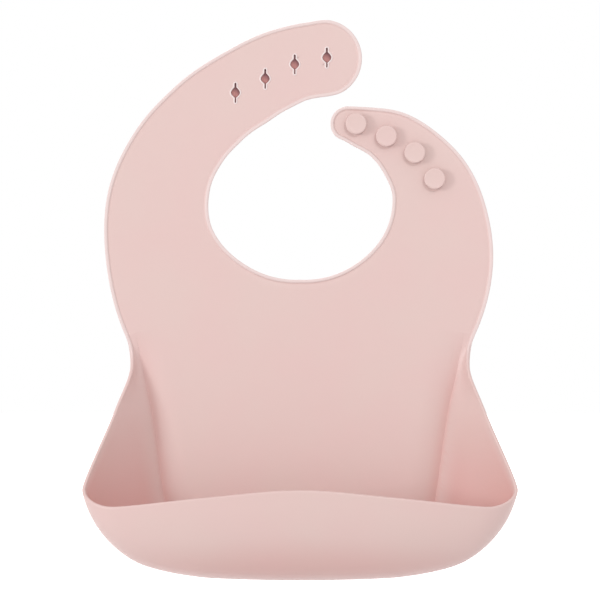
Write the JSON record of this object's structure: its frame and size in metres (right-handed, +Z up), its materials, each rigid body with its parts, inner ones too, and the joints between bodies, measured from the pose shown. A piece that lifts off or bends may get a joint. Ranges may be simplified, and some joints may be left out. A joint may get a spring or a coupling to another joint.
{
  "type": "silicone bib",
  "caption": "Soft silicone feeding bib with a neck opening, two arms that close with studs and slit holes, and an open scoop pocket.",
  "frame": {"origin": "centre of the neck opening, on the sheet's back face", "axes": "+Z up towards the arms' tips, -Y forwards out of the pocket's side, +X to the side of the arm with the studs"},
  "size_m": [0.2278, 0.0578, 0.2978],
  "materials": {
    "silicone": "matte"
  },
  "bodies": {
    "neck": {"neck_panel": "silicone"},
    "chest": {"lower_panel": "silicone", "left_gusset": "silicone", "right_gusset": "silicone"},
    "pocket": {"pocket_front": "silicone"},
    "hole_arm_root_link": {"hole_arm_root": "silicone"},
    "hole_arm_middle_link": {"hole_arm_middle": "silicone"},
    "hole_arm_tip_link": {"hole_arm_tip": "silicone"},
    "stud_arm_root_link": {"stud_arm_root": "silicone", "stud_4": "silicone"},
    "stud_arm_middle_link": {"stud_arm_middle": "silicone", "stud_3": "silicone"},
    "stud_arm_tip_link": {"stud_arm_tip": "silicone", "stud_1": "silicone", "stud_2": "silicone"}
  },
  "joints": [
    {"name": "hole_arm_bend", "type": "hinge", "parent": "neck", "child": "hole_arm_root_link", "pos_m": [-0.07647, -0.0009, -0.00669], "axis": [-0.9962, 0, -0.0872], "range_deg": [-15, 40], "stiffness_Nm_per_rad": 0.02},
    {"name": "hole_arm_bend_middle", "type": "hinge", "parent": "hole_arm_root_link", "child": "hole_arm_middle_link", "pos_m": [-0.05864, -0.0009, 0.03118], "axis": [-0.8829, 0, 0.4695], "range_deg": [-15, 40], "stiffness_Nm_per_rad": 0.02},
    {"name": "hole_arm_bend_tip", "type": "hinge", "parent": "hole_arm_middle_link", "child": "hole_arm_tip_link", "pos_m": [-0.02678, -0.0009, 0.05617], "axis": [-0.4304, 0, 0.9026], "range_deg": [-15, 40], "stiffness_Nm_per_rad": 0.02},
    {"name": "stud_arm_bend", "type": "hinge", "parent": "neck", "child": "stud_arm_root_link", "pos_m": [0.07573, -0.0009, -0.0161], "axis": [-0.9781, 0, 0.2079], "range_deg": [-15, 40], "stiffness_Nm_per_rad": 0.02},
    {"name": "stud_arm_bend_middle", "type": "hinge", "parent": "stud_arm_root_link", "child": "stud_arm_middle_link", "pos_m": [0.06584, -0.0009, 0.01307], "axis": [-0.9809, 0, -0.1947], "range_deg": [-15, 40], "stiffness_Nm_per_rad": 0.02},
    {"name": "stud_arm_bend_tip", "type": "hinge", "parent": "stud_arm_middle_link", "child": "stud_arm_tip_link", "pos_m": [0.05466, -0.0009, 0.02499], "axis": [-0.9095, 0, -0.4157], "range_deg": [-15, 40], "stiffness_Nm_per_rad": 0.02},
    {"name": "panel_bend", "type": "hinge", "parent": "neck", "child": "chest", "pos_m": [0, -0.0009, -0.06], "axis": [-1, 0, 0], "range_deg": [-20, 60], "stiffness_Nm_per_rad": 0.2},
    {"name": "pocket_fold", "type": "hinge", "parent": "chest", "child": "pocket", "pos_m": [0, -0.0009, -0.182], "axis": [-1, 0, 0], "range_deg": [-12, 24], "stiffness_Nm_per_rad": 0.3, "deforming": ["left_gusset", "right_gusset"]}
  ],
  "couplings": [
    {"joint": "hole_arm_bend_middle", "follows": "hole_arm_bend", "ratio": 1},
    {"joint": "hole_arm_bend_tip", "follows": "hole_arm_bend", "ratio": 1},
    {"joint": "stud_arm_bend_middle", "follows": "stud_arm_bend", "ratio": 1},
    {"joint": "stud_arm_bend_tip", "follows": "stud_arm_bend", "ratio": 1}
  ]
}
